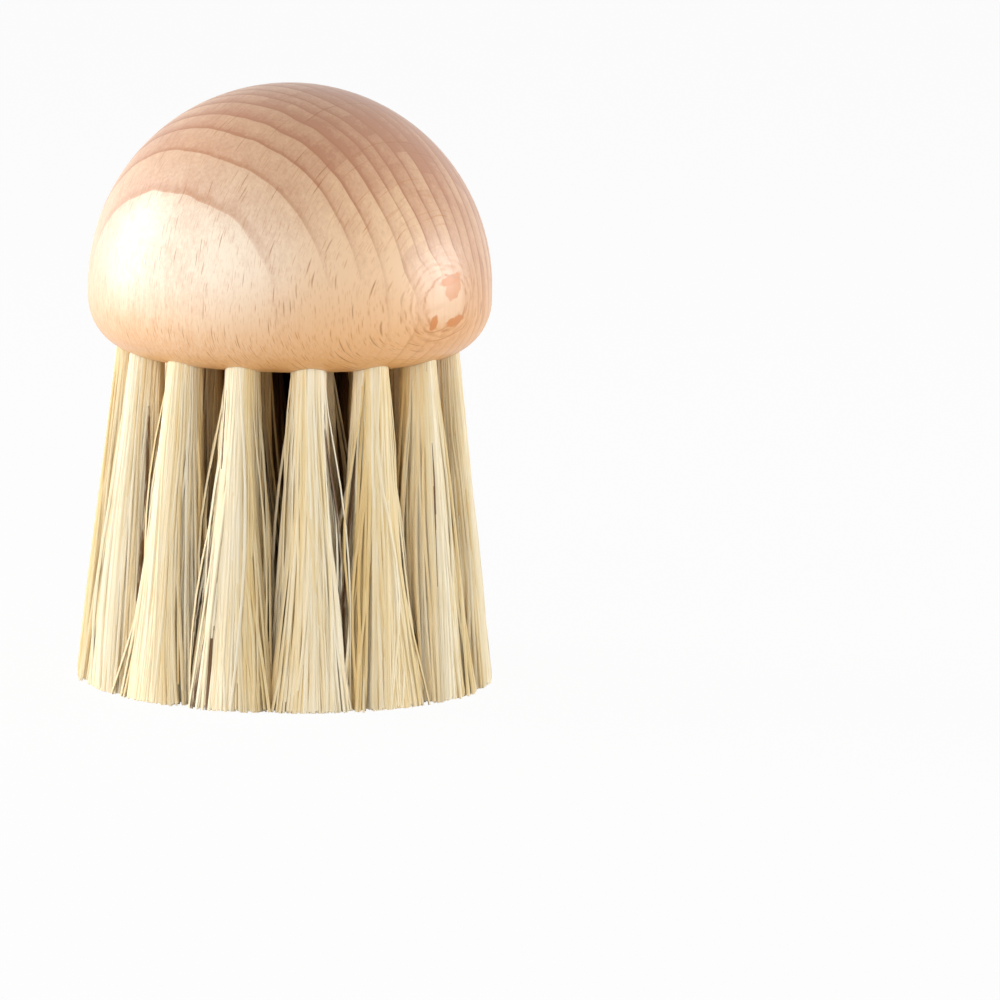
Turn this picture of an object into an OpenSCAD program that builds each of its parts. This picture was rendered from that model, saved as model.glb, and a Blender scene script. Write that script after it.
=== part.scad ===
// Round palm brush for vegetables: a turned beech knob with three rings of bores in its flat
// underside. Each bore holds one fibre tuft, folded double over a flat wire anchor.
// Millimetres, +Z up. The origin is the centre of the bristle face, which the brush stands on.

/* [Knob] */
// Diameter of the knob at its belly; the dome above it is a hemisphere
knob_d = 55; // [50:0.5:70]
// Height of the belly, where the dome starts, above the flat underside
belly_h = 9.2; // [8.5:0.1:16]
// Radius of the rounded rim between the flat underside and the belly
rim_r = 7.6; // [2:0.1:8]

/* [Bristle face] */
// Free length of the fibres, from the knob's underside to their trimmed tips
bristle_l = 44.8; // [30:0.1:60]
// Diameter of the face that all the trimmed tips make together
face_d = 58.2; // [50:0.1:75]
// Radius around the axis that the innermost tips leave free
core_r = 3.2; // [2.8:0.1:4]

/* [Tuft rings] */
// Distance from the belly's edge to the centres of the outer ring's bores
edge_inset = 6.3; // [5.5:0.1:8]
// Radius of the inner ring's bore centres; the middle ring lies half way out
inner_ring_r = 5.7; // [4.8:0.1:7]
// Tufts in the outer ring
outer_tufts = 15; // [10:1:17]
// Tufts in the middle ring
middle_tufts = 10; // [6:1:11]
// Tufts in the inner ring
inner_tufts = 5; // [3:1:5]
// Turn of the outer ring's first tuft from +X
outer_spin = 13; // [0:0.5:36]
// Turn of the middle ring's first tuft from +X
middle_spin = 33; // [0:0.5:60]
// Turn of the inner ring's first tuft from +X
inner_spin = 18; // [0:0.5:120]

/* [Bores] */
// Diameter of the blind bores
bore_d = 5; // [4:0.1:5.6]
// Depth of a bore's straight wall, on its own axis
bore_depth = 9; // [6:0.1:12]
// Point angle of the drill that leaves the cone at a bore's end
drill_angle = 118; // [90:1:150]

/* [Anchors] */
// Width of the flat wire that the anchors are cut from, which lies along the bore
anchor_w = 2; // [1.2:0.1:2.5]
// Thickness of the flat wire
anchor_t = 0.45; // [0.3:0.01:0.6]
// Bite of an anchor's two ends into the wood
anchor_bite = 0.3; // [0.1:0.05:0.5]
// Thickness of the folded fibres between an anchor and the bore's end
fold_t = 1.2; // [0.6:0.1:2]

/* [Tufts] */
// Strands in a tuft's outer circle
outer_strands = 11; // [8:1:11]
// Strands in a tuft's inner circle
inner_strands = 5; // [3:1:5]
// Sides of a strand
strand_sides = 3; // [3:1:4]
// Diameter across a strand's corners where it leaves the tuft's root
strand_root_d = 0.84; // [0.6:0.02:0.9]
// Diameter across a strand's corners at its tip
strand_tip_d = 1.4; // [0.8:0.05:1.5]
// How early the fibres fan out: 1 is evenly down their length, more is nearer to the knob
fan = 1.4; // [1:0.1:2]
// Distance that a tuft's packed root stands out of its bore
root_proud = 0.6; // [0.3:0.1:1.5]

/* [Fits] */
// Gap between a tuft's root and its bore
bore_gap = 0.02; // [0.01:0.01:0.1]
// Gap around an anchor in the wood and in the fibres
anchor_gap = 0.02; // [0.01:0.01:0.1]
// Gap between the strands of neighbouring tufts at the face
tip_gap = 0.2; // [0.1:0.05:0.5]

/* [Hidden] */
$fn = 96;
OUTER = 0;
MIDDLE = 1;
INNER = 2;
RINGS = ["outer", "middle", "inner"];

knob_r = knob_d / 2;
face_r = face_d / 2;
rim = min(rim_r, belly_h - 0.5);
tufts = [outer_tufts, middle_tufts, inner_tufts];
spins = [outer_spin, middle_spin, inner_spin];
outer_ring_r = knob_r - edge_inset;
ring_r = [outer_ring_r, (outer_ring_r + inner_ring_r) / 2, inner_ring_r];

// The face is shared out in equal areas: each ring of tufts has a band of it, split into patches.
all_tufts = outer_tufts + middle_tufts + inner_tufts;
band_out = [
    face_r,
    face_r * sqrt((middle_tufts + inner_tufts) / all_tufts),
    face_r * sqrt(inner_tufts / all_tufts)
];
band_in = [band_out[MIDDLE], band_out[INNER], core_r];
patch_r = (band_out + band_in) / 2;
patch_margin = (strand_tip_d + tip_gap) / 2;
// Share of a full wedge by which a patch narrows towards the axis
patch_taper = 0.7;

// Each bore leans so that its axis meets the middle of its patch.
lean = [for (ring = [OUTER:INNER]) atan2(patch_r[ring] - ring_r[ring], bristle_l)];

drill_point_h = bore_d / 2 / tan(drill_angle / 2);
// A bore's cutter starts this far outside its mouth, to clear the rounded rim.
mouth_reach = rim + bore_d;
anchor_l = bore_d + 2 * anchor_bite;

root_d = bore_d - 2 * bore_gap;
// Room between the outermost strands and the edge of the packed root that they leave
root_edge = 0.15;
// Depth that the strands reach into the packed root
root_sink = 0.5;
strand_top = bristle_l - root_proud + root_sink;
circle_r = root_d / 2 - root_edge - strand_root_d / 2;
// The inner circle's radius as a share of the outer circle's
inner_circle_share = 0.47;
strands = inner_strands + outer_strands;
// Turn of each strand's corners from the last strand's, in degrees
strand_turn = 47;
// Where a strand has its rings of corners, as shares of its length
stations = [0, 0.5, 1];

function two_digits(n) = n < 10 ? str("0", n) : str(n);
function tuft_name(ring, i) = str("tuft_", RINGS[ring], "_", two_digits(i + 1));
function anchors_name(ring) = str("anchors_", RINGS[ring], "_ring");

// A strand's place in its tuft, in a circle of radius 1
function unit_spot(j) = j < inner_strands
    ? inner_circle_share * [cos(360 * j / inner_strands), sin(360 * j / inner_strands)]
    : [cos(360 * (j - inner_strands) / outer_strands), sin(360 * (j - inner_strands) / outer_strands)];

// A strand's tip in its tuft's patch, from the patch's middle, in a wedge that narrows towards the axis
function tip_spot(ring, j) = let (
        half_turn = 180 / tufts[ring],
        deep = unit_spot(j).x * ((band_out[ring] - band_in[ring]) / 2 - patch_margin),
        half_wide = (patch_r[ring] + patch_taper * deep) * tan(half_turn) - patch_margin / cos(half_turn)
    ) [deep, unit_spot(j).y * half_wide];

// Share of the whole fan-out that is done at share s of the way down
function fanned(s) = 1 - pow(1 - s, fan);

// Centre of strand j at share s of the way from its root down to its tip, with X radial
function strand_centre(ring, j, s) = let (
        z = strand_top * (1 - s),
        axis_x = ring_r[ring] + (bristle_l - z) * tan(lean[ring]),
        root = unit_spot(j) * circle_r,
        off = root + (tip_spot(ring, j) - root) * fanned(s)
    ) [axis_x + off.x, off.y, z];

// Diameter across a strand's corners at share s of the way down
function strand_d(s) = strand_root_d + (strand_tip_d - strand_root_d) * fanned(s);

function strand_ring(ring, j, s) = [
    for (corner = [0:strand_sides - 1])
        let (a = j * strand_turn + 360 * corner / strand_sides)
            strand_centre(ring, j, s) + strand_d(s) / 2 * [cos(a), sin(a), 0]
];

// Triangles of a closed tube of rings of n corners, from the top ring down
function tube_faces(n, rings) = concat(
    [for (c = [1:n - 2]) [0, c + 1, c]],
    [for (r = [0:rings - 2], c = [0:n - 1]) let (a = r * n + c, b = r * n + (c + 1) % n) [a, b, b + n]],
    [for (r = [0:rings - 2], c = [0:n - 1]) let (a = r * n + c, b = r * n + (c + 1) % n) [a, b + n, a + n]],
    [for (c = [1:n - 2]) let (last = (rings - 1) * n) [last, last + c, last + c + 1]]
);

// Half of the knob's outline, with the underside at y = 0
module knob_outline() {
    square([knob_r - rim, belly_h]);
    translate([0, rim]) square([knob_r, belly_h - rim]);
    intersection() {
        translate([knob_r - rim, rim]) circle(rim);
        translate([knob_r - rim, 0]) square(rim);
    }
    intersection() {
        translate([0, belly_h]) circle(knob_r);
        translate([0, belly_h]) square(knob_r);
    }
}

// Puts its children at a bore's mouth, with Z along the bore into the wood and X away from the axis
module at_bore(ring, i) {
    rotate([0, 0, spins[ring] + 360 * i / tufts[ring]])
        translate([ring_r[ring], 0, bristle_l])
            rotate([0, -lean[ring], 0]) children();
}

// A blind bore with its drill point
module bore() {
    translate([0, 0, -mouth_reach]) cylinder(d = bore_d, h = mouth_reach + bore_depth);
    translate([0, 0, bore_depth]) cylinder(d1 = bore_d, d2 = 0, h = drill_point_h);
}

// One anchor in its bore, with its length across the radius, grown all round by gap
module anchor(gap) {
    size = [anchor_t, anchor_l, anchor_w] + 2 * gap * [1, 1, 1];
    translate([0, 0, bore_depth - fold_t - anchor_w / 2]) cube(size, center = true);
}

module knob() {
    color([0.90, 0.73, 0.54])
        difference() {
            translate([0, 0, bristle_l]) rotate_extrude() knob_outline();
            for (ring = [OUTER:INNER]) for (i = [0:tufts[ring] - 1]) at_bore(ring, i) {
                bore();
                anchor(anchor_gap);
            }
        }
}

// The packed root of a tuft, which fills its bore and is slotted for the anchor
module tuft_root(ring, i) {
    at_bore(ring, i) difference() {
        translate([0, 0, -root_proud]) cylinder(d = root_d, h = root_proud + bore_depth);
        anchor(anchor_gap);
    }
}

module strand(ring, j) {
    polyhedron(
        points = [for (s = stations) each strand_ring(ring, j, s)],
        faces = tube_faces(strand_sides, len(stations))
    );
}

module tuft(ring, i) {
    color([0.89, 0.81, 0.58]) {
        tuft_root(ring, i);
        rotate([0, 0, spins[ring] + 360 * i / tufts[ring]])
            for (j = [0:strands - 1]) strand(ring, j);
    }
}

module ring_anchors(ring) {
    color([0.80, 0.66, 0.36])
        for (i = [0:tufts[ring] - 1]) at_bore(ring, i) anchor(0);
}

knob();
for (ring = [OUTER:INNER]) {
    for (i = [0:tufts[ring] - 1])
        tuft(ring, i);
    ring_anchors(ring);
}
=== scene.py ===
"""Dresses a round vegetable brush for a studio picture: a beech knob with thirty tufts of plant fibre."""

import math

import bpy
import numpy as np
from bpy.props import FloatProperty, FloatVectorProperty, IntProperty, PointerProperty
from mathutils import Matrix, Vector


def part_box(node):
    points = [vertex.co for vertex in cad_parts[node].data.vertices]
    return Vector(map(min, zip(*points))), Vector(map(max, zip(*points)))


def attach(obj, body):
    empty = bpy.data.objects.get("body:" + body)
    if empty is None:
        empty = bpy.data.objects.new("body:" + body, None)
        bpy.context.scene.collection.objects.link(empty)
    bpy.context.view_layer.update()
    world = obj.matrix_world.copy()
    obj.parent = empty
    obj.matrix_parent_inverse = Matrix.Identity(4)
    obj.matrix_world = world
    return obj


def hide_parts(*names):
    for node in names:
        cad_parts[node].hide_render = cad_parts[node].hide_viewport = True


bl_info = {
    "name": "Vegetable brush",
    "version": (1, 0, 0),
    "blender": (4, 5, 0),
    "location": "View3D > Sidebar > Brush",
    "description": "Gives a turned brush knob its beech and plants its fibre tufts",
    "category": "Object",
}

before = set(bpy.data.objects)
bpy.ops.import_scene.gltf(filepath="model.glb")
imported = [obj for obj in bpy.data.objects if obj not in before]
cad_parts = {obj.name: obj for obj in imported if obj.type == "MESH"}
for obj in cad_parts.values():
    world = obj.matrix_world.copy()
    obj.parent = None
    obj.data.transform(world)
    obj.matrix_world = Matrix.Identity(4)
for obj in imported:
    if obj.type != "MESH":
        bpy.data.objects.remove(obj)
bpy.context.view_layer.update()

MM = 0.001
FULL_TURN = 2 * math.pi
BODY = "root"
RINGS = ("outer", "middle", "inner")
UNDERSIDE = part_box("knob")[0].z
KNOB_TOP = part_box("knob")[1].z
KNOB_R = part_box("knob")[1].x
DOME_CENTRE = Vector((0, 0, KNOB_TOP - KNOB_R))


def colour_setting(name, description, default):
    """A colour that a user can change, in linear red, green and blue."""
    return FloatVectorProperty(
        name=name, description=description, default=default, subtype="COLOR", size=3, min=0, max=1
    )


def length_setting(name, description, default, **limits):
    """A length in metres, shown in the scene's unit."""
    return FloatProperty(name=name, description=description, default=default, unit="LENGTH", **limits)


def angle_setting(name, description, degrees):
    """An angle, given in degrees."""
    return FloatProperty(name=name, description=description, default=math.radians(degrees), subtype="ANGLE")


def count_setting(name, description, default, least):
    """A whole number that is at least so much."""
    return IntProperty(name=name, description=description, default=default, min=least)


def lamp_setting(name, description, default):
    """The power of a lamp in watts."""
    return FloatProperty(name=name, description=description, default=default, min=0, unit="POWER")


class BrushWood(bpy.types.PropertyGroup):
    """The beech of the knob."""

    # Also the colour of the painted highlight on the dome's lit left
    palest: colour_setting("Youngest wood", "Colour of the outermost years", (0.95, 0.815, 0.65))
    pale: colour_setting("Early wood", "Colour of the wood that grows in spring", (0.90, 0.61, 0.375))
    # Also the colour of the painted shade at the dome's top and back
    rosy: colour_setting("Late wood", "Colour of the wood at the end of a year's growth", (0.56, 0.265, 0.15))
    # Painted shade on the rim, which faces down: darker and more orange
    rim_shade: colour_setting("Rim", "Colour that the wood turns to at its rim", (0.82, 0.385, 0.10))
    fleck: colour_setting("Rays", "Colour of the long dark rays", (0.40, 0.14, 0.035))
    dash: colour_setting("Dashes", "Colour of the short rays and of the knot's rings", (0.58, 0.22, 0.06))
    knot: colour_setting("Knot", "Colour of the small knot's patches", (0.67, 0.235, 0.045))
    ring_width: length_setting("Ring width", "Width of one year's growth", 2.5 * MM, min=0.5 * MM)
    knot_r: length_setting("Knot radius", "Half the small knot's height", 3.7 * MM, min=0.5 * MM)
    roughness: FloatProperty(
        name="Roughness",
        description="Roughness of the sanded wood",
        default=0.34,
        min=0,
        max=1,
        subtype="FACTOR",
    )


class BrushFibre(bpy.types.PropertyGroup):
    """The plant fibre of the tufts."""

    pale: colour_setting("Pale", "Colour of the palest fibres", (0.98, 0.895, 0.695))
    straw: colour_setting("Straw", "Colour of most fibres", (0.88, 0.675, 0.335))
    # Gold is also the colour of light painted shade.
    gold_and_shade: colour_setting("Gold", "Colour of the ripest fibres and of light shade", (0.72, 0.47, 0.16))
    dark: colour_setting("Dark", "Colour of the few dark fibres", (0.16, 0.08, 0.03))
    # Painted shade near the wood, between the tufts
    shade_brown: colour_setting("Shaded", "Colour near the wood, between the tufts", (0.50, 0.25, 0.07))
    # Painted shade near the wood, deep in the brush, nearly black
    deep: colour_setting("Deep", "Colour near the wood, deep in the brush", (0.06, 0.02, 0.005))
    outer_pairs: count_setting("Outer fibres", "Folded fibres in a tuft of the outer ring", 420, 10)
    inner_pairs: count_setting("Inner fibres", "Folded fibres in a tuft of the other rings", 260, 10)
    thin: length_setting("Thinnest", "Diameter of the thinnest fibre", 0.26 * MM, min=0.05 * MM)
    thick: length_setting("Thickest", "Diameter of the thickest fibre", 0.56 * MM, min=0.05 * MM)
    fan: FloatProperty(
        name="Fan", description="How near to the knob the tufts fan out", default=0.97, min=0.6, max=3
    )
    seed: count_setting("Seed", "Seed of the fibres' random growth", 7, 0)


class BrushMetal(bpy.types.PropertyGroup):
    """The flat wire of the anchors."""

    bright: colour_setting("Brass", "Colour of the clean wire", (0.78, 0.63, 0.34))
    dull: colour_setting("Tarnish", "Colour of the tarnished wire", (0.42, 0.30, 0.15))


class BrushStage(bpy.types.PropertyGroup):
    """The floor, the lamps and the camera."""

    floor: colour_setting("Floor", "Colour of the floor", (0.9, 0.9, 0.9))
    key: lamp_setting("Key lamp", "Power of the lamp at the left", 3.2)
    fill: lamp_setting("Fill lamp", "Power of the large lamp at the front left", 4.5)
    rim: lamp_setting("Rim lamp", "Power of the low lamp at the right", 5.0)
    around: FloatProperty(
        name="Room light", description="Strength of the light from all round", default=0.61, min=0
    )
    camera_distance: length_setting("Camera distance", "How far the camera stands in front", 831 * MM)
    camera_height: length_setting("Camera height", "Height of the camera above the floor", 159.5 * MM)
    heading: angle_setting("Heading", "Turn of the camera to the right", 2.005)
    pitch: angle_setting("Pitch", "Tilt of the camera down", 9.213)
    roll: angle_setting("Roll", "Roll of the camera", 1.003)
    lens: FloatProperty(name="Focal length", description="Focal length in millimetres", default=221.1, min=1)


class Value:
    """A socket of a shader that Python's operators work on: each operator adds its Math node."""

    def __init__(self, shader, socket):
        self.shader = shader
        self.socket = socket

    def math(self, operation, *others):
        values = dict(enumerate((self, *others)))
        return self.shader.node("ShaderNodeMath", values, operation=operation)

    def __add__(self, other):
        return self.math("ADD", other)

    def __sub__(self, other):
        return self.math("SUBTRACT", other)

    def __mul__(self, other):
        return self.math("MULTIPLY", other)

    def __truediv__(self, other):
        return self.math("DIVIDE", other)

    def __pow__(self, other):
        return self.math("POWER", other)

    def __rsub__(self, other):
        return self.math("MULTIPLY_ADD", -1.0, other)

    __radd__ = __add__
    __rmul__ = __mul__

    def fraction(self):
        return self.math("FRACT")

    def whole(self):
        return self.math("FLOOR")

    def least(self, other):
        return self.math("MINIMUM", other)

    def most(self, other):
        return self.math("MAXIMUM", other)

    def rise(self, low, high):
        """0 below low, 1 above high and a smooth step between."""
        values = {"Value": self, "From Min": low, "From Max": high}
        return self.shader.node("ShaderNodeMapRange", values, interpolation_type="SMOOTHSTEP")


class Shader:
    """The nodes of one material or world."""

    def __init__(self, owner):
        owner.use_nodes = True
        self.tree = owner.node_tree
        self.tree.nodes.clear()

    def node(self, kind, values=None, output=0, **settings):
        """Adds a node of a kind: first its settings, then the values or links of its sockets."""
        made = self.tree.nodes.new(kind)
        for name, setting in settings.items():
            setattr(made, name, setting)
        for name, value in (values or {}).items():
            socket = made.inputs[name]
            if isinstance(value, Value):
                self.tree.links.new(value.socket, socket)
            elif socket.type == "RGBA" and len(value) == 3:
                socket.default_value = (*value, 1)
            else:
                socket.default_value = value
        return Value(self, made.outputs[output]) if made.outputs else made

    def mix(self, share, first, second):
        """Goes from the first colour to the second by a share."""
        values = {0: share, 6: first, 7: second}
        return self.node("ShaderNodeMix", values, output=2, data_type="RGBA", clamp_factor=True)

    def vector_math(self, operation, vector, other):
        return self.node("ShaderNodeVectorMath", {0: vector, 1: other}, operation=operation)

    def dot(self, vector, direction):
        values = {0: vector, 1: direction}
        return self.node("ShaderNodeVectorMath", values, output="Value", operation="DOT_PRODUCT")

    def place(self, centre=(0, 0, 0)):
        """The place on the object in millimetres, from a centre in metres."""
        spot = self.node("ShaderNodeTexCoord", output="Object")
        moved = self.vector_math("SUBTRACT", spot, centre)
        return self.node("ShaderNodeVectorMath", {0: moved, "Scale": 1 / MM}, operation="SCALE")

    def joined(self, x, y, z):
        return self.node("ShaderNodeCombineXYZ", {0: x, 1: y, 2: z})

    def noise(self, vector, scale, detail=2.0, roughness=0.5):
        """Soft noise around a half; scale is in cycles a millimetre."""
        values = {"Vector": vector, "Scale": scale, "Detail": detail, "Roughness": roughness}
        return self.node("ShaderNodeTexNoise", values)

    def flecks(self, vector, sure, gone, rare, common):
        """Spindles round scattered points of a plane, full out to sure and gone at gone.

        Those whose chance is below rare are left out, and those up to common are faint.
        """
        values = {"Vector": vector, "Scale": 1.0, "Randomness": 1.0}
        near = self.node("ShaderNodeTexVoronoi", values, voronoi_dimensions="2D")
        own = self.node("ShaderNodeTexVoronoi", values, "Color", voronoi_dimensions="2D")
        chance = self.node("ShaderNodeSeparateColor", {0: own})
        return (1.0 - near.rise(sure, gone)) * chance.rise(rare, common)

    def finish(self, colour, roughness, bump, depth, **fixed):
        """Ends the tree in a Principled shader; the bump's depth is in metres."""
        normal = self.node("ShaderNodeBump", {"Height": bump, "Distance": depth, "Strength": 1.0})
        values = {"Base Color": colour, "Roughness": roughness, "Normal": normal}
        values.update({name.replace("_", " "): value for name, value in fixed.items()})
        surface = self.node("ShaderNodeBsdfPrincipled", values)
        self.node("ShaderNodeOutputMaterial", {"Surface": surface})


# The wood was sawn far from its tree's heart, so a year's growth is a flat layer. These directions come from
# the rings that show on the dome: across the layers, along the trunk, and along the layers.
ACROSS = Vector((-0.664, -0.746, -0.053)).normalized()
TRUNK = (Vector((0, 0, 1)) - ACROSS * ACROSS.z).normalized()
ALONG = TRUNK.cross(ACROSS)
# Distance across the layers from the dome's centre at which the years grow wider, in millimetres
WIDE_FROM = 11.0
# How much wider each millimetre makes a year
WIDENING = 0.22
# How far the layers wander, shift, and bulge round the knot, in millimetres
LAYER_WANDER = 2.4
LAYER_SHIFT = 1.4
KNOT_BULGE = 1.3
# How much the layers curve, in a millimetre for each millimetre squared
LAYER_CURVE = 0.004
# How far one year's width strays from the next, in years
UNEVEN_YEARS = 0.7
# Rays to a millimetre along the layers
LONG_RAYS = 1.6
SHORT_RAYS = 3.2
FINE_RAYS = 5.5
# How far the rays bend, in millimetres
RAY_BEND = 1.4
# How far each of these turns the early wood's colour to the late wood's
LATE_TONE = 0.66
EDGE_TONE = 0.22
CLOUD_TONE = 1.0
STREAK_TONE = 0.5
GRIT_TONE = 0.5
MOTTLE_TONE = 0.45
# Painted shade at the dome's top
CROWN_SHADE = 0.6
# Painted shade at the dome's back, away from the lit left
BACK_SHADE = 0.5
# The tones of the blocks that the rays cut the years into, and how much stronger they are beside the knot
BLOCK_TONE = 0.36
BLOCK_TONE_BESIDE_KNOT = 0.34
# The small knot is in this direction from the dome's centre.
KNOT_DIRECTION = Vector((0.763, -0.646, 0.002)).normalized()
# How much wider the knot is than high
KNOT_WIDER = 1.22
# The knot's patches in millimetres: place to the right and up, half width, half height, and strength
KNOT_PATCHES = (
    (1.5, 1.8, 1.9, 1.7, 0.8),
    (1.1, 3.0, 2.5, 0.7, 1.0),
    (-2.7, -2.3, 0.8, 1.1, 1.0),
    (1.7, -2.7, 2.3, 0.7, 1.0),
)
# How far a patch climbs from its middle to its right end, in millimetres
KNOT_TILT = 0.35
# How ragged the edge of a patch is
KNOT_RAGGED = 1.6
# The knot's rings: reach as a share of its radius, and strength
KNOT_RINGS = ((1.0, 0.85), (1.25, 0.45), (1.5, 0.35), (1.75, 0.25))
# Depth of the grain's bump
GRAIN_DEPTH = 0.03 * MM


def knot_eye(s, place, radius):
    """The small knot: places to its right and up in millimetres, distance in radii, and 1 on its side."""
    side = TRUNK.cross(KNOT_DIRECTION).normalized()
    right = s.dot(place, side)
    up = s.dot(place, KNOT_DIRECTION.cross(side))
    facing = s.dot(place, KNOT_DIRECTION).rise(0.0, 8.0)
    wobble = s.noise(place, 0.5, 2.0) * 0.3 - 0.15
    reach = (right * right * (1 / KNOT_WIDER**2) + up * up).math("SQRT") / radius + wobble
    return right, up, reach, facing


def growth_years(s, across, trunk, along, near_knot, width):
    """Years of growth, counted across the layers, which wander and bulge round the knot."""
    calm = s.joined(across * 0.5, along, trunk * 0.35)
    wander = s.noise(calm, 0.09, 2.0) * LAYER_WANDER
    layer = across + wander - LAYER_SHIFT + along * along * LAYER_CURVE + near_knot * KNOT_BULGE
    wider = (layer - WIDE_FROM).most(0.0) * (WIDENING / width) + 1.0
    years = layer.least(WIDE_FROM) / width + wider.math("LOGARITHM", math.e) / WIDENING
    return years + s.noise(s.joined(years * 0.5, 0.0, 0.0), 1.0, 0.0) * UNEVEN_YEARS


def each_year(s, year_number, step):
    """A number of its own for each year; the step is how unlike its neighbour's it is."""
    return s.noise(s.joined(year_number * step, 0.0, 0.0), 1.0, 0.0)


def paint_knot(s, wood, colour, place, eye):
    """The eye: a pale heart, orange patches, and a thin dark ring with faint ones round it."""
    knot_x, knot_y, knot_d, facing = eye
    uneven = s.noise(place, 0.8, 2.0)
    heart = (1.0 - knot_d.rise(0.6, 1.0)) * facing
    colour = s.mix(heart * 0.5, colour, tuple(wood.pale))
    for right, up, wide, high, strong in KNOT_PATCHES:
        x = (knot_x - right) * (1 / wide)
        y = (knot_y - up - x * KNOT_TILT) * (1 / high)
        edge = x * x + y * y + uneven * KNOT_RAGGED - KNOT_RAGGED / 2
        patch = (1.0 - edge.rise(0.6, 1.1)) * facing * strong
        colour = s.mix(patch, colour, tuple(wood.knot))
    for reach, strong in KNOT_RINGS:
        line = 1.0 - (knot_d - reach).math("ABSOLUTE").rise(0.02, 0.09)
        colour = s.mix(line * facing * uneven.rise(0.3, 0.65) * strong, colour, tuple(wood.dash))
    return colour


def beech(wood):
    """Sanded, unfinished beech: growth rings, dark ray flecks, fine pores and one small knot, with painted
    shade and a painted highlight.

    Every range of across, trunk and along is in millimetres from the dome's centre.
    """
    material = bpy.data.materials.new("beech")
    s = Shader(material)
    place = s.place(DOME_CENTRE)
    across = s.dot(place, ACROSS)
    trunk = s.dot(place, TRUNK)
    along = s.dot(place, ALONG)
    eye = knot_eye(s, place, wood.knot_r / MM)
    near_knot = (1.0 - eye[2].rise(1.1, 2.2)) * eye[3]

    # A year darkens to its end, and has a thin dark edge there.
    years = growth_years(s, across, trunk, along, near_knot, wood.ring_width / MM)
    year_number = years.whole()
    year = years.fraction()
    late = year**2.0
    edge = year.rise(0.82, 0.95) * (1.0 - year.rise(0.97, 1.0))
    strength = each_year(s, year_number, 0.37)

    # Rays are thin ribbons across the layers, standing along the trunk.
    bent = along + s.noise(place, 0.12, 1.0) * RAY_BEND
    long_place = s.joined(bent * LONG_RAYS, trunk * 0.1, 0.0)
    long_rays = s.flecks(long_place, sure=0.05, gone=0.14, rare=0.3, common=0.8)
    short_place = s.joined(bent * SHORT_RAYS, trunk * 0.26 + across * 0.05, 0.0)
    short_rays = s.flecks(short_place, sure=0.08, gone=0.22, rare=0.2, common=0.9)
    fine_place = s.joined(bent * FINE_RAYS, trunk * 0.6 + across * 0.11, 0.0)
    fine_rays = s.flecks(fine_place, sure=0.1, gone=0.3, rare=0.2, common=0.9)

    # Pores and fine streaks run along the trunk.
    streaks = s.noise(s.joined(across * 3.2, along * 3.2, trunk * 0.16), 1.0, 3.0, 0.65)
    grit = s.noise(place, 1.8, 3.0, 0.7)
    mottle = s.noise(s.joined(across, along, trunk * 0.6), 0.6, 2.0, 0.6)
    cloud = s.noise(s.joined(across, along, trunk * 0.5), 0.055, 3.0, 0.55)

    # Low on the side of the youngest wood the layers are cut on the flat, and hardly show.
    steeply_cut = trunk.rise(2.0, 17.0).most(1.0 - across.rise(2.0, 13.0))
    shown = (steeply_cut * 0.92 + 0.08) * (1.0 - near_knot * 0.75)

    # Rays cut each year into blocks, each with a tone of its own.
    sector = (along * 0.26 + each_year(s, year_number, 3.7) * 6.0).whole()
    block = s.node("ShaderNodeTexWhiteNoise", {"Vector": s.joined(year_number, sector, 0.0)})
    beside_knot = s.dot(place, KNOT_DIRECTION).rise(8.0, 24.0)
    block_tone = beside_knot * BLOCK_TONE_BESIDE_KNOT + BLOCK_TONE
    blocks = (block - 0.5) * (1.0 - across.rise(6.0, 17.0)) * block_tone

    # From early wood to late wood
    ring_tone = late * LATE_TONE + edge * (EDGE_TONE - across.rise(6.0, 20.0) * 0.15) + blocks
    share = ring_tone * (strength * 0.9 + 0.3) * shown
    share = share + (cloud - 0.5) * CLOUD_TONE + (streaks - 0.5) * STREAK_TONE
    share = share + (grit - 0.5) * GRIT_TONE + (mottle - 0.5) * MOTTLE_TONE
    # Painted shade: darker and rosier towards the top.
    share = share + trunk.rise(8.0, 27.0) * CROWN_SHADE
    # Painted shade: darker towards the back, away from the lit left.
    share = share + (1.0 - across.rise(-12.0, 8.0)) * BACK_SHADE
    # Painted highlight: towards the lit left and upper left the wood turns to the outermost years' paler
    # colour.
    young_and_lit = across.rise(17.0, 29.0) * 0.85 + across.rise(10.0, 24.0) * trunk.rise(-2.0, 12.0) * 0.45
    early = s.mix(young_and_lit, tuple(wood.pale), tuple(wood.palest))
    colour = s.mix(share, early, tuple(wood.rosy))

    # Painted shade: the rim, which faces down, turns darker and more orange, and the rays lie over all.
    low = 1.0 - trunk.rise(-10.0, 7.0)
    colour = s.mix(low * (0.8 + (streaks - 0.5) * 0.8), colour, tuple(wood.rim_shade))
    colour = s.mix(edge * shown * 0.22, colour, tuple(wood.fleck))
    dashes = (short_rays * 0.8 + fine_rays * 0.5) * (low * 0.5 + 0.5)
    colour = s.mix(dashes, colour, tuple(wood.dash))
    colour = s.mix(long_rays * 0.6, colour, tuple(wood.fleck))
    colour = paint_knot(s, wood, colour, place, eye)

    roughness = streaks * 0.16 + late * 0.06 + (wood.roughness - 0.1)
    bump = streaks * 0.5 + grit * 0.3 - long_rays * 0.5 - late * 0.3
    s.finish(colour, roughness, bump, GRAIN_DEPTH, Coat_Weight=0.2, Coat_Roughness=0.45)
    return material


# How a fibre's blotches are stretched: their height is the inverse of the last number.
FIBRE_STRETCH = (1, 1, 0.12)
FIBRE_DEPTH = 0.02 * MM
# Share of a fibre's free length at which its pale cut end starts
CUT_END = 0.985


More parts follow.
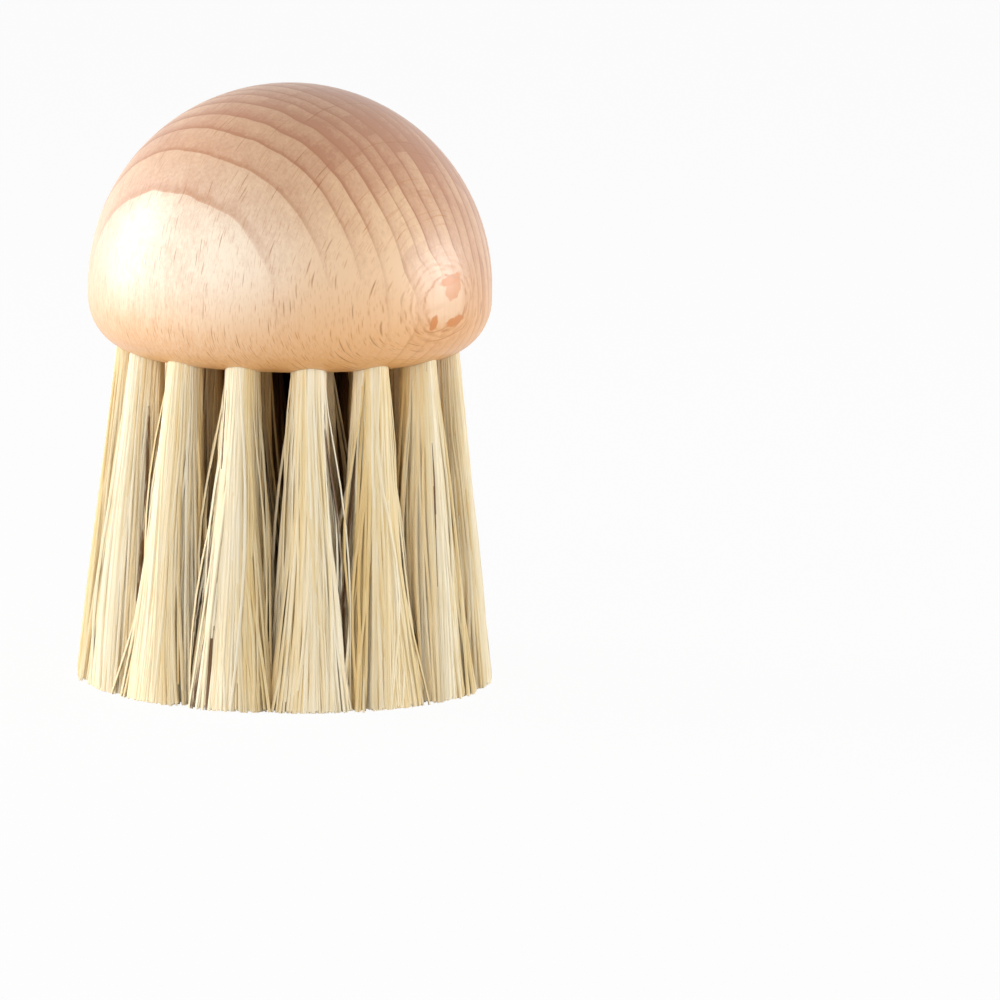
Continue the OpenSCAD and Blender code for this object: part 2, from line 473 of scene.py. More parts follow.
def plant_fibre(fibre):
    """Dried plant fibre, whose meshes carry two attributes.

    strand holds each fibre's tone, ripeness and darkness, and how far down it a place is. shade is the
    painted shade there, from 0 to 1, which turns the colour gold, brown and nearly black.
    """
    material = bpy.data.materials.new("fibre")
    s = Shader(material)
    strand = s.node("ShaderNodeAttribute", output="Color", attribute_name="strand")
    down = s.node("ShaderNodeAttribute", output="Alpha", attribute_name="strand")
    tone = s.node("ShaderNodeSeparateColor", {0: strand}, "Red")
    ripe = s.node("ShaderNodeSeparateColor", {0: strand}, "Green")
    dark = s.node("ShaderNodeSeparateColor", {0: strand}, "Blue")
    shade = s.node("ShaderNodeAttribute", output="Fac", attribute_name="shade")
    stretched = s.vector_math("MULTIPLY", s.place(), FIBRE_STRETCH)
    blotch = s.noise(stretched, 0.9, 3.0, 0.6)
    patch = s.noise(stretched, 0.22, 1.0)

    share = tone + (blotch - 0.5) * 0.8 + (patch - 0.5) * 0.4
    colour = s.mix(share, tuple(fibre.pale), tuple(fibre.straw))
    golden = ripe.rise(0.8, 1.0) * 0.35 + (patch - 0.5) * 0.5 + (share - 0.8) * 0.6
    colour = s.mix(golden, colour, tuple(fibre.gold_and_shade))
    # Painted shade: near the wood, at the flanks and deep in the brush the fibres turn gold, brown and nearly
    # black.
    colour = s.mix(shade.rise(0.0, 0.6) * 0.85, colour, tuple(fibre.gold_and_shade))
    colour = s.mix(shade.rise(0.35, 0.8), colour, tuple(fibre.shade_brown))
    colour = s.mix(shade.rise(0.65, 1.0), colour, tuple(fibre.deep))
    colour = s.mix(dark * blotch.rise(0.3, 0.5), colour, tuple(fibre.dark))
    colour = s.mix(down.rise(CUT_END, 1.0) * 0.25, colour, tuple(fibre.pale))
    roughness = (blotch * 0.2 + shade * 0.6 + 0.32).least(1.0)
    s.finish(colour, roughness, blotch, FIBRE_DEPTH, Specular_IOR_Level=0.4)
    return material


# How the wire's scratches are squeezed, which makes them long across the bore
SCRATCH_STRETCH = (1, 1, 9)
SCRATCH_DEPTH = 0.01 * MM


def flat_wire(metal):
    """Drawn brass wire: long scratches, and tarnish."""
    material = bpy.data.materials.new("anchor_wire")
    s = Shader(material)
    place = s.place()
    scratches = s.noise(s.vector_math("MULTIPLY", place, SCRATCH_STRETCH), 1.6, 3.0)
    tarnish = s.noise(place, 0.7, 3.0).rise(0.42, 0.62)
    colour = s.mix(tarnish * 0.8, tuple(metal.bright), tuple(metal.dull))
    roughness = scratches * 0.25 + tarnish * 0.25 + 0.18
    s.finish(colour, roughness, scratches, SCRATCH_DEPTH, Metallic=1.0)
    return material


# Slices of a CAD tuft that hold its root's end and its tips
ROOT_END = 0.45 * MM
TIP_END = 0.1 * MM
# The innermost tufts leave this much round the axis free.
CORE_R = 0.7 * MM
# A bore's radius is a little more than that of the fibres packed in it.
PACKED_R = 2.3 * MM
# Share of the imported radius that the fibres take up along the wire
PACKED_ALONG = 0.9
# The anchor's top and its foot in its bore, as the bore's depth less these, and half its thickness
ANCHOR_TOP = 1.2 * MM
ANCHOR_LOW = 3.2 * MM
ANCHOR_HALF = 0.24 * MM
# A leg's least distance from the wire, and how many millimetres the legs spread from there
LEG_GAP = 0.2 * MM
LEG_SPREAD = 1.75
# A fold's least height over the wire, and how many millimetres higher the outermost fibres fold
FOLD_LEAST = 0.15 * MM
FOLD_SPREAD = 0.85
# Places round a fibre's fold over its anchor, from one leg to the other
FOLD = (1.0, 0.5, -0.5, -1.0)


class Tuft:
    """Where one tuft goes, read from its CAD solid: its bore's axis, and its share of the bristle face."""

    def __init__(self, name):
        points = np.array([v.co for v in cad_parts[name].data.vertices])
        heights = points[:, 2]
        end = points[heights > heights.max() - ROOT_END]
        tips = points[heights < TIP_END]
        bore_end = (end.min(0) + end.max(0)) / 2
        self.name = name
        self.ring = next(ring for ring in RINGS if ring in name)
        self.face = np.unique(tips.round(6), axis=0).mean(0)
        self.tip_reach = np.hypot(tips[:, 0], tips[:, 1])
        along = bore_end - self.face
        self.mouth = self.face + along * (UNDERSIDE - self.face[2]) / along[2]
        self.up = along / np.linalg.norm(along)
        self.heading = math.atan2(bore_end[1], bore_end[0])
        self.out = np.array((math.cos(self.heading), math.sin(self.heading), 0.0))
        self.round = np.array((-math.sin(self.heading), math.cos(self.heading), 0.0))
        self.depth = float(np.linalg.norm(bore_end - self.mouth))


def tufts():
    """All the tufts, ring by ring, each with the edges of its ring's band of the face."""
    made = [Tuft(name) for name in sorted(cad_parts) if name.startswith("tuft_")]
    face_r = max(t.tip_reach.max() for t in made)
    edge = face_r
    left = len(made)
    for ring in RINGS:
        mine = [t for t in made if t.ring == ring]
        left -= len(mine)
        inside = face_r * math.sqrt(left / len(made))
        for t in mine:
            t.band = (max(inside, CORE_R), edge)
            t.half_turn = math.pi / len(mine)
        edge = inside
    return made


# Rings of corners down a fibre's free length, and the sides of a fibre
OUTER_STEPS = 10
INNER_STEPS = 7
OUTER_SIDES = 5
INNER_SIDES = 4
# Fibres are packed a little closer at a tuft's outside: a half here would spread them evenly.
PACKING = 0.42
# Each fibre is this share of the half turn on from the last, which never repeats.
GOLDEN_SHARE = 0.6180339887
# How far a fibre's place strays from an even one: within its step outward, and in shares of the half turn
STEP_JITTER = (0.2, 0.8)
TURN_JITTER = (-0.02, 0.02)
# How far a tuft's patch of the face goes from a disc towards a square
SQUARENESS = 0.75
# Fibres stop this far inside their ring's edge, which leaves room for their waves.
TIP_MARGIN = 0.7 * MM
# How late the tufts fan out round the ring: 1 is evenly down their length, more is nearer to the tips
SIDE_FAN = 2.0
# How much each fibre's own fan-out differs, and how much of that goes into its way round the ring
FAN_SPREAD = 0.35
SIDE_FAN_SPREAD = 0.6
# Locks in which a tuft's fibres lie, and how far fibres are pulled to their lock's middle
LOCKS = 12
LOCK_PULL = (0.02, 0.25)
# Share of the fibres that follow their lock's sways in full, and how far the others do
WILD_SHARE = 0.32
CALM = 0.3
# Spread of a lock's shift round the ring at its tips, and of its sway
LOCK_SHIFT = 0.8 * MM
LOCK_SWAY = 0.85 * MM
# How fast a lock's sway turns over down its length, its strength near the wood, and how much eases off
SWAY_PACE = 3.6
SWAY_STRENGTH = 1.6
SWAY_EASE = 0.8
# Share of the fibres whose tips stray far, and the spread of their tips and the others', in millimetres
FAR_SHARE = 0.2
FAR_TIP = 0.9
NEAR_TIP = 0.3
# A fibre's own waves: size in millimetres, pace, and how soon they are at full size, where 1 is at the tip
WAVE_SIZE = (0.05, 0.34)
WAVE_PACE = (2.5, 8.0)
WAVE_START = 3
# How much wider the waves of wild fibres swing round the ring
WILD_WAVES = 1.6
# Share of a half wave that a bow makes down a fibre, and how narrow its hump is
BOW_REACH = 0.72
BOW_HUMP = 1.5
# Share of their waves that the fibres on the very outside lose
SMOOTHED = 0.75
# Loose hairs: how near to the flank they start, their share, and their reach in millimetres
FLANK_FROM = 0.72
LOOSE_SHARE = 0.05
LOOSE_REACH = (0.8, 2.8)
# Where a loose hair comes back, and how narrow its hump is
LOOSE_TURN = (0.75, 1.15)
LOOSE_HUMP = 1.3
# Fibres that bow out: their share, and their reach and the others' in millimetres
STRAY_SHARE = 0.03
STRAY_REACH = (0.5, 1.8)
LEAST_STRAY = (0, 0.25)
# Fibres that were cut short: their share, how much they lack, how uneven the trim is, and the most they lack
SHORT_SHARE = 0.06
SHORT_BY = (0.01, 0.09)
TRIM = 0.006
MOST_LACKED = 0.15
# How much painted shade the tufts of a ring have at the wood
SHADE_AT_WOOD = {"outer": 0.0, "middle": 0.28, "inner": 0.9}
# Where on the way down that ends, as a share of the free length
FADES = {"outer": 0.9, "middle": 1.1, "inner": 1.15}
# Painted shade on the side of a tuft that faces the axis, at its flanks, and in its middle
INWARD_SHADE = 0.45
FLANK_SHADE = 0.1
CORE_SHADE = 0.45
# Share of the shade at the flanks and in the middle that is gone at the tips
BURIED_FADE = 0.35
# Spread of the tone from lock to lock, and a fibre's own tone: its middle, its spread, and a tuft's spread
LOCK_TONE = 0.2
OWN_TONE = 0.42
OWN_TONE_SPREAD = 0.17
TUFT_TONE_SPREAD = 0.07
# Share of the fibres that are dark
DARK_SHARE = 0.008
# How the fibres' thicknesses are shared out between the thinnest and the thickest
THICKNESS_BETA = (2.0, 2.6)
# A fibre's thickness in the wood, what it gains from there, and how soon, where 1 is at the tip
ROOT_THICKNESS = 0.68
THICKNESS_GAIN = 0.32
GAIN_PACE = 2.2
# How far the fibres' own normals turn to the tuft's, so that light goes softly round a tuft
NORMAL_TURN = 0.5
# Nearer than this to a tuft's middle no direction away from it counts.
LEAST_REACH = 0.01 * MM


def now_and_then(random, share, span, count):
    """A random number within a span for a share of the fibres, and 0 for the others."""
    return np.where(random.uniform(0, 1, count) < share, random.uniform(*span, count), 0.0)


def fibre_spots(random, count):
    """Places in a disc of radius 1 for the first legs of the fibres, spread over its outward half."""
    radius = ((np.arange(count) + random.uniform(*STEP_JITTER, count)) / count) ** PACKING
    turn = (np.arange(count) * GOLDEN_SHARE + random.uniform(*TURN_JITTER, count)) % 1
    return radius, math.pi * (turn - 0.5)


def squared(radius, angle):
    """Spreads a disc towards a square with round corners."""
    reach = np.maximum(np.abs(np.cos(angle)), np.abs(np.sin(angle)))
    grown = radius * (1 + (reach**-SQUARENESS - 1) * radius)
    return grown * np.cos(angle), grown * np.sin(angle)


def face_places(tuft, radius, angle):
    """Where on the bristle face the fibres end, before they lie together in locks."""
    deep, wide = squared(radius, angle)
    inside, outside = tuft.band
    tip_r = (inside + outside) / 2 + deep * (outside - inside) / 2
    turn = wide * tuft.half_turn + tuft.heading
    return np.stack([tip_r * np.cos(turn), tip_r * np.sin(turn), np.zeros(len(radius))], 1)


def nearest_locks(random, spots):
    """The number of the lock that each fibre lies in."""
    lock_r = np.sqrt(random.uniform(0, 1, LOCKS))
    lock_a = random.uniform(-math.pi, math.pi, LOCKS)
    lock_spots = np.stack([lock_r * np.cos(lock_a), lock_r * np.sin(lock_a)], 1)
    return np.argmin(((spots[:, None] - lock_spots[None]) ** 2).sum(2), 1)


def gather_tips(tuft, random, tips, nearest):
    """Draws the tips together in locks that cross each other a little; gives how wild each fibre is."""
    count = len(tips)
    middles = np.zeros((LOCKS, 3))
    for lock in range(LOCKS):
        members = nearest == lock
        if members.any():
            middles[lock] = tips[members].mean(0)
    pull = random.uniform(*LOCK_PULL, count)[:, None]
    tips += (middles[nearest] - tips) * pull
    wild = np.where(random.uniform(0, 1, count) < WILD_SHARE, 1.0, CALM)[:, None]
    tips += (random.normal(0, LOCK_SHIFT, LOCKS)[:, None] * tuft.round)[nearest] * wild
    spread = np.where(random.uniform(0, 1, count) < FAR_SHARE, FAR_TIP, NEAR_TIP)[:, None] * MM * wild
    tips[:, :2] += random.normal(0, 1, (count, 2)) * spread
    over = np.hypot(tips[:, 0], tips[:, 1]) / (tuft.band[1] - TIP_MARGIN)
    tips[:, :2] /= np.maximum(over, 1)[:, None]
    return wild


def swaying(random, s, nearest, wild, stray):
    """How far the fibres lie off their way, outward and round the ring: nothing at the mouth."""
    count = len(nearest)
    lock_sway = random.normal(0, LOCK_SWAY, (LOCKS, 2))[nearest] * wild
    lock_phase = random.uniform(0, FULL_TURN, LOCKS)[nearest][:, None]
    swing = np.sin(s * SWAY_PACE + lock_phase) * s * (SWAY_STRENGTH - SWAY_EASE * s)
    sway = lock_sway[:, None] * swing[..., None]
    size = random.uniform(*WAVE_SIZE, count) * MM
    phase = random.uniform(0, FULL_TURN, (2, count))[..., None]
    pace = random.uniform(*WAVE_PACE, (2, count))[..., None]
    wave = np.stack([np.sin(s * pace[0] + phase[0]), np.sin(s * pace[1] + phase[1])], 2)
    wave = wave * (size[:, None] * np.sin(np.minimum(s * WAVE_START, 1) * math.pi / 2))[..., None]
    wave[..., 1] *= 1 + WILD_WAVES * wild
    bow_way = random.uniform(0, FULL_TURN, count)
    bow = np.stack([np.cos(bow_way), np.sin(bow_way)], 1)[:, None]
    bow = bow * (stray[:, None] * np.sin(s * math.pi * BOW_REACH) ** BOW_HUMP)[..., None]
    return sway + wave + bow


def loose_hairs(random, s, flank):
    """How far single hairs at a tuft's flanks bow out over the gap beside it."""
    count = len(flank)
    loose = (np.abs(flank) > FLANK_FROM) & (random.uniform(0, 1, count) < LOOSE_SHARE)
    reach = np.where(loose, np.sign(flank) * random.uniform(*LOOSE_REACH, count), 0.0) * MM
    turn_back = random.uniform(*LOOSE_TURN, count)[:, None]
    return reach[:, None] * np.sin(np.minimum(s * turn_back, 1) * math.pi) ** LOOSE_HUMP


def legs(tuft, fibre, random, radius, angle, steps, stray, length):
    """Paths of one leg of every fibre from the bore's mouth to its tip, and each fibre's lock.

    The paths are an array of fibres by steps by three.
    """
    count = len(radius)
    s = np.linspace(0, 1, steps)[None, :]
    tips = face_places(tuft, radius, angle)
    spots = np.stack([radius * np.cos(angle), radius * np.sin(angle)], 1)
    nearest = nearest_locks(random, spots)
    wild = gather_tips(tuft, random, tips, nearest)

    length = length[:, None]
    axis = tuft.mouth + (tuft.face - tuft.mouth) * (s * length)[..., None]
    own_fan = random.uniform(-FAN_SPREAD, FAN_SPREAD, count)[:, None] * wild
    outward = 1 - (1 - s) ** (fibre.fan + own_fan)
    sideways = s ** (SIDE_FAN + own_fan * SIDE_FAN_SPREAD)
    offset = np.zeros(axis.shape)
    for way, root, fanned in ((tuft.out, spots[:, 0], outward), (tuft.round, spots[:, 1], sideways)):
        start = (root * PACKED_R)[:, None]
        end = ((tips - tuft.face) @ way)[:, None]
        offset += (start + (end - start) * fanned * length)[..., None] * way

    # The fibres on the outside lie smoothly.
    flat = swaying(random, s, nearest, wild, stray)
    flat[..., 0] *= (1 - SMOOTHED * np.maximum(spots[:, 0], 0))[:, None]
    flat[..., 1] += loose_hairs(random, s, spots[:, 1])
    offset += flat[..., :1] * tuft.out + flat[..., 1:] * tuft.round
    return axis + offset, nearest


def painted_shade(tuft, radius, angle, down):
    """The painted shade down each fibre, from 0 to 1."""
    inward = np.maximum(-radius * np.cos(angle), 0)
    near_wood = SHADE_AT_WOOD[tuft.ring] + INWARD_SHADE * inward
    fade = np.clip(1 - down / FADES[tuft.ring], 0, 1)
    buried = FLANK_SHADE * radius * np.abs(np.sin(angle)) ** 2 + CORE_SHADE * (1 - radius)
    return np.clip(near_wood[:, None] * fade + buried[:, None] * (1 - down * BURIED_FADE), 0, 1)


def folds(tuft, radius, angle):
    """Paths inside the bore, where two legs lie on either side of the wire and meet above it."""
    x = radius * np.cos(angle)
    y = radius * np.sin(angle)
    top = tuft.depth - ANCHOR_TOP
    low = tuft.depth - ANCHOR_LOW
    leg_x = (ANCHOR_HALF + LEG_GAP) + x * LEG_SPREAD * MM
    fold_h = FOLD_LEAST + x * FOLD_SPREAD * MM
    rows = []
    for side, depth in ((1, low), *((place, top) for place in FOLD), (-1, low)):
        rise = depth + fold_h * 2 * (1 - abs(side))
        rows.append(
            tuft.mouth
            + (leg_x * side)[:, None] * tuft.out
            + (y * PACKED_ALONG * PACKED_R)[:, None] * tuft.round
            + rise[:, None] * tuft.up
        )
    return np.stack(rows, 1)


def folded_fibres(tuft, fibre, random):
    """A tuft's fibres, each from one tip up into the bore, over the anchor and down to its other tip.

    Gives the paths, how far down each place is, and the tone and painted shade there.
    """
    outer = tuft.ring == "outer"
    count = fibre.outer_pairs if outer else fibre.inner_pairs
    steps = OUTER_STEPS if outer else INNER_STEPS
    radius, angle = fibre_spots(random, count)
    order = random.permutation(count)
    radius = radius[order]
    angle = angle[order]
    down = np.linspace(0, 1, steps)
    sides = []
    tones = []
    shades = []
    for turned in (angle, math.pi - angle):
        stray = now_and_then(random, STRAY_SHARE, STRAY_REACH, count) * MM
        stray = stray + random.uniform(*LEAST_STRAY, count) * MM
        trimmed = np.abs(random.normal(0, TRIM, count))
        short = now_and_then(random, SHORT_SHARE, SHORT_BY, count)
        length = 1 - np.minimum(trimmed + short, MOST_LACKED)
        path, lock = legs(tuft, fibre, random, radius, turned, steps, stray, length)
        sides.append(path)
        tones.append(np.repeat(random.normal(0, LOCK_TONE, LOCKS)[lock][:, None], steps, 1))
        shades.append(painted_shade(tuft, radius, turned, down))

    inner = folds(tuft, radius, angle)
    middle = np.zeros(inner.shape[:2])
    paths = np.concatenate([sides[0][:, ::-1], inner, sides[1]], 1)
    share = np.concatenate([down[::-1], middle[0], down])
    tone = np.concatenate([tones[0][:, ::-1], middle, tones[1]], 1)
    shade = np.concatenate([shades[0][:, ::-1], middle, shades[1]], 1)
    return paths, share, tone, shade


def swept(paths, radii, side, corners):
    """Corners and normals of the tubes along the paths. No fibre runs along the side direction."""
    ways = np.gradient(paths, axis=1)
    ways /= np.linalg.norm(ways, axis=2, keepdims=True)
    first = np.cross(ways, side)
    first /= np.linalg.norm(first, axis=2, keepdims=True)
    second = np.cross(ways, first)
    turn = np.arange(corners) * 2 * math.pi / corners
    ring = first[:, :, None] * np.cos(turn)[:, None] + second[:, :, None] * np.sin(turn)[:, None]
    return paths[:, :, None] + ring * radii[..., None, None], ring


def turned_normals(paths, normals):
    """Turns the normals of a tuft's fibres away from its middle, those on its outside most."""
    away = paths - paths.mean(0)
    away[..., 2] = 0
    reach = np.linalg.norm(away, axis=2, keepdims=True)
    away /= np.maximum(reach, LEAST_REACH)
    share = NORMAL_TURN * np.minimum(reach / np.maximum(reach.mean(0), LEAST_REACH), 1)
    return normals * (1 - share)[:, :, None] + (away * share)[:, :, None]


# The map of a tuft has an upright strip for each tube, in this many rows.
MAP_ROWS = 2
# A tube's part of its strip: start and width across, and start and height
MAP_ACROSS = (0.07, 0.86)
MAP_UPWARD = (0.03, 0.94)
# The caps' half width and half height, and their places at the strip's two ends
CAP_WIDE = 0.36
CAP_HIGH = 0.009
CAP_ENDS = ((0.012, -1), (0.988, 1))


def strip_map(tubes, rings, corners):
    """The map of a tuft's tubes: first the corners of all the sides, then those of all the caps."""
    columns = math.ceil(tubes / MAP_ROWS)
    left = (np.arange(tubes) % columns) / columns
    foot = (np.arange(tubes) // columns) / MAP_ROWS
    across = np.arange(corners + 1) / corners * MAP_ACROSS[1] + MAP_ACROSS[0]
    upward = np.arange(rings) / (rings - 1) * MAP_UPWARD[1] + MAP_UPWARD[0]
    u = left[:, None, None] + (across / columns)[None, None, :]
    v = foot[:, None, None] + (upward / MAP_ROWS)[None, :, None]
    grid = np.stack(np.broadcast_arrays(u, v), -1)
    sides = np.stack([grid[:, :-1, :-1], grid[:, :-1, 1:], grid[:, 1:, 1:], grid[:, 1:, :-1]], 3)
    turn = np.arange(corners) * 2 * math.pi / corners
    disc = np.stack([np.cos(turn) * CAP_WIDE / columns, np.sin(turn) * CAP_HIGH / MAP_ROWS], -1)
    caps = []
    for end, way in CAP_ENDS:
        middle = np.stack([left + 0.5 / columns, foot + end / MAP_ROWS], -1)
        caps.append(middle[:, None] + disc[None, ::way])
    return np.concatenate([sides.reshape(-1, 2), np.concatenate(caps).reshape(-1, 2)])


def tube_mesh(name, points, normals):
    """One mesh of closed tubes, from an array of tubes by rings by corners by three."""
    tubes, rings, corners, _ = points.shape
    index = np.arange(tubes * rings * corners).reshape(tubes, rings, corners)
    after = np.roll(index, -1, 2)
    quads = np.stack([index[:, :-1], after[:, :-1], after[:, 1:], index[:, 1:]], -1).reshape(-1, 4)
    caps = np.concatenate([index[:, 0, ::-1], index[:, -1]])
    loops = np.concatenate([quads.ravel(), caps.ravel()])
    cap_starts = len(quads) * 4 + np.arange(len(caps)) * corners
    starts = np.concatenate([np.arange(len(quads)) * 4, cap_starts])
    mesh = bpy.data.meshes.new(name)
    mesh.vertices.add(index.size)
    mesh.vertices.foreach_set("co", points.reshape(-1).astype(np.float32))
    mesh.loops.add(len(loops))
    mesh.loops.foreach_set("vertex_index", loops.astype(np.int32))
    mesh.polygons.add(len(starts))
    mesh.polygons.foreach_set("loop_start", starts.astype(np.int32))
    mesh.update(calc_edges=True)
    flat = strip_map(tubes, rings, corners)
    mesh.uv_layers.new(name="OFBake").data.foreach_set("uv", flat.astype(np.float32).ravel())

    # The tips were trimmed level, so both ends of a tube face down.
    mesh.shade_smooth()
    trimmed = np.tile((0.0, 0.0, -1.0), (caps.size, 1))
    loop_normals = np.concatenate([normals.reshape(-1, 3)[quads.ravel()], trimmed])
    loop_normals /= np.linalg.norm(loop_normals, axis=1, keepdims=True)
    mesh.normals_split_custom_set(loop_normals)
    return mesh


def tuft_mesh(tuft, fibre, random):
    """The mesh of one tuft, each fibre with its own thickness and colour."""
    paths, share, lock_tone, shade = folded_fibres(tuft, fibre, random)
    tubes, rings, _ = paths.shape
    thickness = fibre.thin + (fibre.thick - fibre.thin) * random.beta(*THICKNESS_BETA, tubes)
    taper = ROOT_THICKNESS + THICKNESS_GAIN * np.minimum(share * GAIN_PACE, 1)
    corners = OUTER_SIDES if tuft.ring == "outer" else INNER_SIDES
    points, normals = swept(paths, thickness[:, None] / 2 * taper, tuft.round, corners)
    points[..., 2] = np.maximum(points[..., 2], 0)
    mesh = tube_mesh(tuft.name, points, turned_normals(paths, normals))

    own_tone = random.normal(OWN_TONE, OWN_TONE_SPREAD, tubes) + random.normal(0, TUFT_TONE_SPREAD)
    ripe = random.uniform(0, 1, tubes)
    dark = (random.uniform(0, 1, tubes) < DARK_SHARE) * 1.0
    colours = np.ones((tubes, rings, corners, 4))
    colours[..., 0] = np.clip(lock_tone + own_tone[:, None], 0, 1)[..., None]
    colours[..., 1] = ripe[:, None, None]
    colours[..., 2] = dark[:, None, None]
    colours[..., 3] = share[None, :, None]
    strand = mesh.attributes.new("strand", "FLOAT_COLOR", "POINT")
    strand.data.foreach_set("color", colours.astype(np.float32).ravel())
    # The painted shade, which the fibre's material turns into darker colour
    lost = mesh.attributes.new("shade", "FLOAT", "POINT")
    lost.data.foreach_set("value", np.repeat(shade[..., None], corners, 2).astype(np.float32).ravel())
    return mesh


class BRUSH_OT_finish_knob(bpy.types.Operator):
    """Gives the turned knob its beech"""

    bl_idname = "brush.finish_knob"
    bl_label = "Finish the knob"

    def execute(self, context):
        dress(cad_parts["knob"], beech(context.scene.brush_wood))
        return {"FINISHED"}


class BRUSH_OT_plant_tufts(bpy.types.Operator):
    """Plants a tuft of folded fibres in each bore of the knob"""

    bl_idname = "brush.plant_tufts"
    bl_label = "Plant the tufts"

    def execute(self, context):
        fibre = context.scene.brush_fibre
        material = plant_fibre(fibre)
        for number, tuft in enumerate(tufts()):
            random = np.random.default_rng((fibre.seed, number))
            mesh = tuft_mesh(tuft, fibre, random)
            mesh.materials.append(material)
            piece = bpy.data.objects.new(tuft.name + "_fibres", mesh)
            context.scene.collection.objects.link(piece)
            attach(piece, BODY)
            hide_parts(tuft.name)
        return {"FINISHED"}


class BRUSH_OT_finish_anchors(bpy.types.Operator):
    """Gives the anchors their brass"""

    bl_idname = "brush.finish_anchors"
    bl_label = "Finish the anchors"

    def execute(self, context):
        material = flat_wire(context.scene.brush_metal)
        for ring in RINGS:
            dress(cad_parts[f"anchors_{ring}_ring"], material)
        return {"FINISHED"}


class BRUSH_OT_set_stage(bpy.types.Operator):
    """Adds the floor, the soft lamps, the white room and the camera"""

    bl_idname = "brush.set_stage"
    bl_label = "Set the stage"

    def execute(self, context):
        stage = context.scene.brush_stage
        add_floor(stage)
        add_room(stage)
        add_lamps(stage)
        add_camera(stage)
        return {"FINISHED"}


def dress(piece, material):
    """Gives a CAD piece one material."""
    piece.data.materials.clear()
    piece.data.materials.append(material)


# Half the floor's width in metres
FLOOR_HALF = 4.0
# Share of the floor's own white where it is seen; the rest takes the brush's shadow.
FLOOR_WHITE = 0.95
# Share of the room's light that is missing straight above
DIMMED_ABOVE = 0.65
# Each lamp: its name, its power's setting, its place, width and height in metres, and its colour
LAMPS = (
    ("key_lamp", "key", (-0.61, 0.12, 0.19), 0.4, 0.4, (1, 0.985, 0.96)),
    ("fill_lamp", "fill", (-0.43, -0.81, 0.28), 0.9, 0.8, (1, 0.99, 0.97)),
    ("rim_lamp", "rim", (0.76, 0.02, 0.06), 0.5, 0.4, (0.98, 0.99, 1)),
)
# The camera's sensor in millimetres, and the nearest and farthest that it sees in metres
SENSOR_WIDTH = 36
NEAREST = 0.05
FARTHEST = 20


def seen_directly(shader):
    """1 for rays from the camera and for the reflections and transmissions that show the room."""
    kinds = ("Is Camera Ray", "Is Glossy Ray", "Is Transmission Ray")
    camera, glossy, transmission = [shader.node("ShaderNodeLightPath", output=kind) for kind in kinds]
    return camera.most(glossy).most(transmission)


def add_floor(stage):
    """A wide floor that looks white and still takes the brush's shadow."""
    half = FLOOR_HALF
    corners = [(-half, -half, 0), (half, -half, 0), (half, half, 0), (-half, half, 0)]
    mesh = bpy.data.meshes.new("floor")
    mesh.from_pydata(corners, [], [(0, 1, 2, 3)])
    material = bpy.data.materials.new("floor")
    s = Shader(material)
    matt = s.node("ShaderNodeBsdfDiffuse", {"Color": tuple(stage.floor)})
    white = s.node("ShaderNodeEmission", {"Color": (1, 1, 1), "Strength": 1.0})
    surface = s.node("ShaderNodeMixShader", {0: seen_directly(s) * FLOOR_WHITE, 1: matt, 2: white})
    s.node("ShaderNodeOutputMaterial", {"Surface": surface})
    mesh.materials.append(material)
    floor = bpy.data.objects.new("floor", mesh)
    bpy.context.scene.collection.objects.link(floor)


def add_room(stage):
    """Soft light from all round, weaker from above, and white where the room is seen."""
    world = bpy.data.worlds.new("room")
    bpy.context.scene.world = world
    s = Shader(world)
    way = s.node("ShaderNodeTexCoord")
    height = s.node("ShaderNodeSeparateXYZ", {0: way}, "Z")
    light = (1.0 - height.rise(0.1, 0.9) * DIMMED_ABOVE) * stage.around
    seen = seen_directly(s)
    strength = seen + (1.0 - seen) * light
    room = s.node("ShaderNodeBackground", {"Color": (1, 1, 1), "Strength": strength})
    s.node("ShaderNodeOutputWorld", {"Surface": room})


def add_lamps(stage):
    """Soft rectangular lamps that face the middle of the brush."""
    for name, setting, place, width, height, colour in LAMPS:
        data = bpy.data.lights.new(name, "AREA")
        data.shape = "RECTANGLE"
        data.size = width
        data.size_y = height
        data.energy = getattr(stage, setting)
        data.color = colour
        lamp = bpy.data.objects.new(name, data)
        lamp.location = place
        aim = Vector((0, 0, KNOB_TOP / 2)) - lamp.location
        lamp.rotation_mode = "QUATERNION"
        lamp.rotation_quaternion = aim.to_track_quat("-Z", "Y")
        lamp.visible_camera = False
        bpy.context.scene.collection.objects.link(lamp)


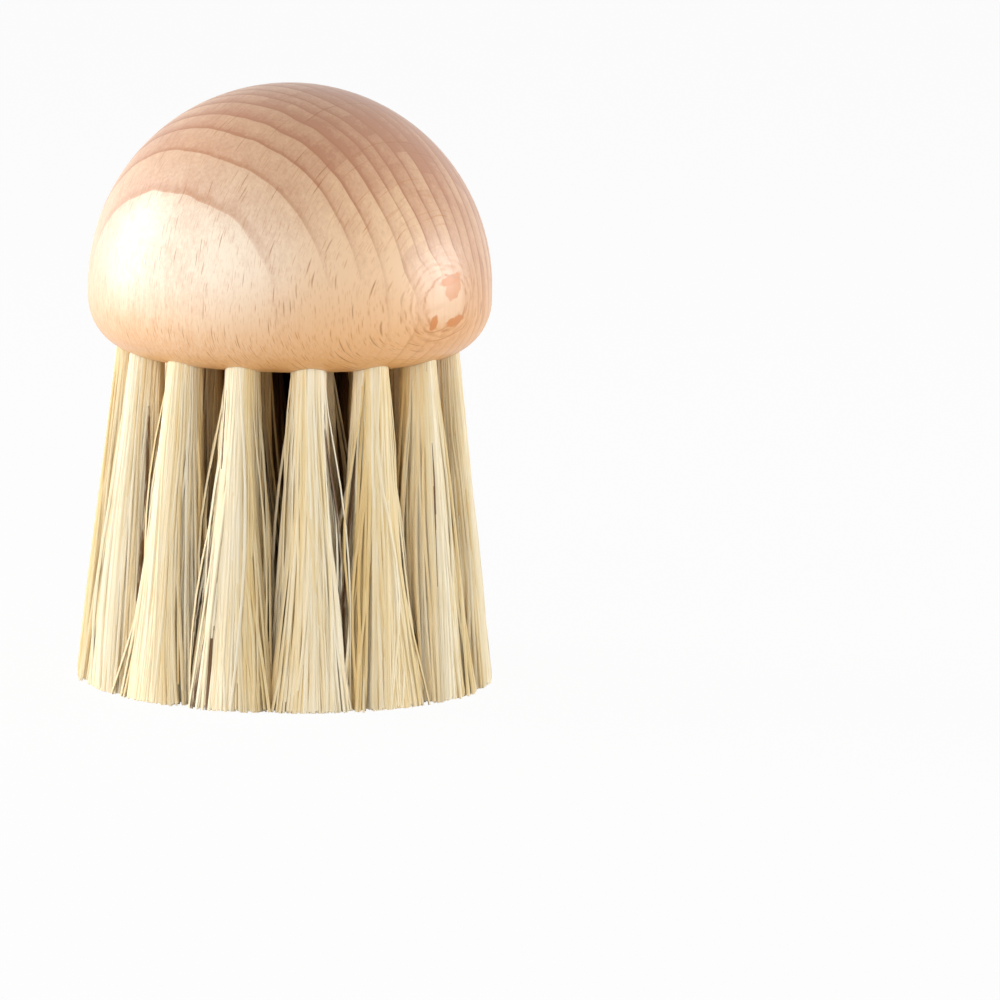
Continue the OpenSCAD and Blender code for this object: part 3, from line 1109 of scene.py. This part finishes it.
def add_camera(stage):
    """The camera, placed so that the brush fills the frame as in the photograph."""
    ahead = Vector(
        (
            math.sin(stage.heading) * math.cos(stage.pitch),
            math.cos(stage.heading) * math.cos(stage.pitch),
            -math.sin(stage.pitch),
        )
    )
    level = Vector((math.cos(stage.heading), -math.sin(stage.heading), 0))
    above = level.cross(ahead)
    right = level * math.cos(stage.roll) + above * math.sin(stage.roll)
    up = above * math.cos(stage.roll) - level * math.sin(stage.roll)
    data = bpy.data.cameras.new("camera")
    data.lens = stage.lens
    data.sensor_width = SENSOR_WIDTH
    data.clip_start = NEAREST
    data.clip_end = FARTHEST
    camera = bpy.data.objects.new("camera", data)
    turn = Matrix((right, up, -ahead)).transposed().to_4x4()
    camera.matrix_world = Matrix.Translation((0, -stage.camera_distance, stage.camera_height)) @ turn
    bpy.context.scene.collection.objects.link(camera)
    bpy.context.scene.camera = camera
    bpy.context.scene.view_settings.view_transform = "Standard"


class BRUSH_PT_sidebar(bpy.types.Panel):
    """The brush's steps and settings"""

    bl_idname = "BRUSH_PT_sidebar"
    bl_label = "Vegetable brush"
    bl_space_type = "VIEW_3D"
    bl_region_type = "UI"
    bl_category = "Brush"

    def draw(self, context):
        layout = self.layout
        for operator in OPERATORS:
            layout.operator(operator.bl_idname)
        for name, group in SETTINGS.items():
            box = layout.box()
            for setting in group.__annotations__:
                box.prop(getattr(context.scene, name), setting)


SETTINGS = {
    "brush_wood": BrushWood,
    "brush_fibre": BrushFibre,
    "brush_metal": BrushMetal,
    "brush_stage": BrushStage,
}
OPERATORS = (BRUSH_OT_finish_knob, BRUSH_OT_plant_tufts, BRUSH_OT_finish_anchors, BRUSH_OT_set_stage)
CLASSES = (*SETTINGS.values(), *OPERATORS, BRUSH_PT_sidebar)


def register():
    for cls in CLASSES:
        bpy.utils.register_class(cls)
    for name, group in SETTINGS.items():
        setattr(bpy.types.Scene, name, PointerProperty(type=group))


def unregister():
    for name in SETTINGS:
        delattr(bpy.types.Scene, name)
    for cls in reversed(CLASSES):
        bpy.utils.unregister_class(cls)


def main():
    """Dresses the whole brush and sets the stage."""
    register()
    bpy.ops.brush.finish_knob()
    bpy.ops.brush.plant_tufts()
    bpy.ops.brush.finish_anchors()
    bpy.ops.brush.set_stage()


if __name__ == "__main__":
    main()
